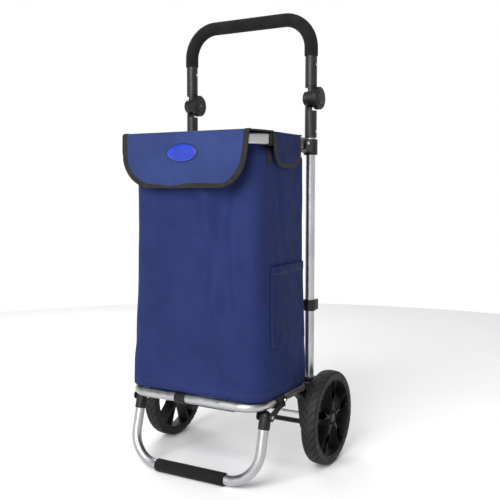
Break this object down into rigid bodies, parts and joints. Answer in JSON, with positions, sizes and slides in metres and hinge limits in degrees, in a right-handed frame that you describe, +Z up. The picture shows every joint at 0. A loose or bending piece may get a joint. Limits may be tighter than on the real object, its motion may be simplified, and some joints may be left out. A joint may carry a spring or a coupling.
{
  "type": "shopping trolley",
  "caption": "Two-wheeled shopping trolley: fabric bag with a flap lid on a folding aluminium frame, tilting U handle with foam grip, and a front leg to stand on.",
  "frame": {"origin": "on the floor, under the middle of the bounding box", "axes": "+Z up; +Y from the bag to the wheels' side; +X to the right when looking at the bag's front, along +Y"},
  "size_m": [0.4772, 0.384, 1.0598],
  "materials": {
    "alloy": "satin anodised tube",
    "steel": "bright zinc",
    "black_tube": "satin black powder coat",
    "black_plastic": "fine grain",
    "rim_plastic": "satin",
    "tyre_rubber": "matt",
    "foam": "soft foam sleeve",
    "bag_fabric": "woven polyester, coated inside",
    "black_webbing": "woven tape",
    "board": "plain board",
    "badge_blue": "gloss"
  },
  "bodies": {
    "chassis": {"upright_left": "alloy", "upright_right": "alloy", "lower_arm_left": "black_tube", "lower_arm_right": "black_tube", "pivot_bolt_left": "steel", "pivot_bolt_right": "steel", "sleeve_rivet_left": "steel", "sleeve_rivet_right": "steel", "collar_left": "black_plastic", "collar_right": "black_plastic", "hoop_pin_left": "steel", "hoop_pin_right": "steel", "rear_bracket_left": "black_plastic", "rear_bracket_right": "black_plastic", "step_bar_left": "black_tube", "step_bar_right": "black_tube", "axle_cap_left": "black_plastic", "axle_cap_right": "black_plastic", "mid_brace": "black_plastic", "axle": "steel", "bag_body": "bag_fabric", "side_pocket": "bag_fabric"},
    "wheel_left": {"tyre_left": "tyre_rubber", "rim_left": "rim_plastic"},
    "wheel_right": {"tyre_right": "tyre_rubber", "rim_right": "rim_plastic"},
    "handle": {"hub_upper_left": "black_plastic", "hub_upper_right": "black_plastic", "handle_rivet_left": "steel", "handle_rivet_right": "steel", "button_spring_left": "steel", "button_spring_right": "steel", "handle_tube": "black_tube", "foam_grip": "foam"},
    "button_left": {"release_button_left": "black_plastic"},
    "button_right": {"release_button_right": "black_plastic"},
    "base": {"base_plug_left": "black_plastic", "base_plug_right": "black_plastic", "leg_bracket_left": "black_plastic", "leg_bracket_right": "black_plastic", "bracket_bolt_left": "steel", "bracket_bolt_right": "steel", "leg_pin_left": "steel", "leg_pin_right": "steel", "base_frame": "alloy", "front_clip": "black_plastic", "base_board": "board"},
    "leg": {"leg_socket_left": "black_plastic", "leg_socket_right": "black_plastic", "leg_tube": "alloy", "foot_pad": "foam"},
    "hoop": {"hoop_strap_left": "black_webbing", "hoop_strap_right": "black_webbing", "top_hoop": "alloy"},
    "cover": {"bag_cover": "bag_fabric"},
    "flap": {"front_flap": "bag_fabric", "badge": "badge_blue"}
  },
  "joints": [
    {"name": "wheel_left_spin", "type": "hinge", "parent": "chassis", "child": "wheel_left", "pos_m": [-0.2206, 0.082, 0.11], "axis": [1, 0, 0], "continuous": true},
    {"name": "wheel_right_spin", "type": "hinge", "parent": "chassis", "child": "wheel_right", "pos_m": [0.2206, 0.082, 0.11], "axis": [1, 0, 0], "continuous": true},
    {"name": "handle_tilt", "type": "hinge", "parent": "chassis", "child": "handle", "pos_m": [0, 0.095, 0.857], "axis": [-1, 0, 0], "range_deg": [0, 110]},
    {"name": "button_left_press", "type": "slide", "parent": "handle", "child": "button_left", "axis": [-1, 0, 0], "range_m": [0, 0.003], "stiffness_N_per_m": 800, "springref_m": -0.001, "deforming": ["button_spring_left"]},
    {"name": "button_right_press", "type": "slide", "parent": "handle", "child": "button_right", "axis": [-1, 0, 0], "range_m": [0, 0.003], "stiffness_N_per_m": 800, "springref_m": -0.001, "deforming": ["button_spring_right"]},
    {"name": "base_fold", "type": "hinge", "parent": "chassis", "child": "base", "pos_m": [0, 0.067, 0.181], "axis": [-1, 0, 0], "range_deg": [0, 80], "deforming": ["bag_body", "side_pocket"]},
    {"name": "leg_fold", "type": "hinge", "parent": "base", "child": "leg", "pos_m": [0, -0.124, 0.157], "axis": [1, 0, 0], "range_deg": [0, 85]},
    {"name": "hoop_fold", "type": "hinge", "parent": "chassis", "child": "hoop", "pos_m": [0, 0.058, 0.752], "axis": [-1, 0, 0], "range_deg": [0, 80]},
    {"name": "cover_open", "type": "hinge", "parent": "hoop", "child": "cover", "pos_m": [0, 0.05, 0.7685], "axis": [1, 0, 0], "range_deg": [-90, 0]},
    {"name": "flap_lift", "type": "hinge", "parent": "cover", "child": "flap", "pos_m": [0, -0.1865, 0.767], "axis": [1, 0, 0], "range_deg": [-90, 0]}
  ]
}
